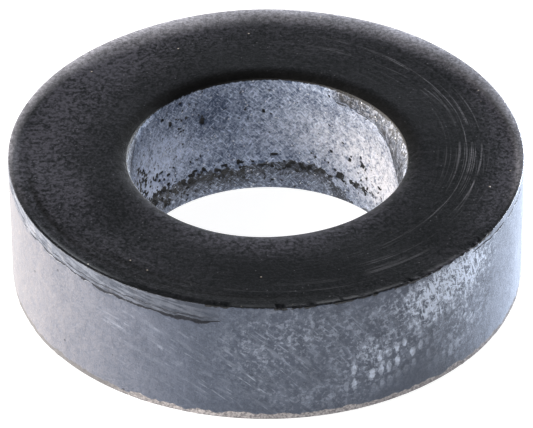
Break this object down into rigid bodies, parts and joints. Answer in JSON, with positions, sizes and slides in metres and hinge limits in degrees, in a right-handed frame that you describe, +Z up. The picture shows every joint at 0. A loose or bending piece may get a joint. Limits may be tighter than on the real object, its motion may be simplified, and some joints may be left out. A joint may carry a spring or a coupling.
{
  "type": "flat washer",
  "caption": "Thick flat black rubber washer: a plain ring with a round bore and two flat faces, for sealing or cushioning under a bolt head or nut.",
  "frame": {"origin": "centre of the bottom face, on the bore axis", "axes": "+Z runs up the bore axis from the bottom face to the top face"},
  "size_m": [0.0238, 0.0238, 0.0063],
  "materials": {
    "black_rubber": "satin cut faces, dusty wrapped wall and grainy bore"
  },
  "bodies": {
    "root": {"washer_ring": "black_rubber"}
  },
  "joints": []
}
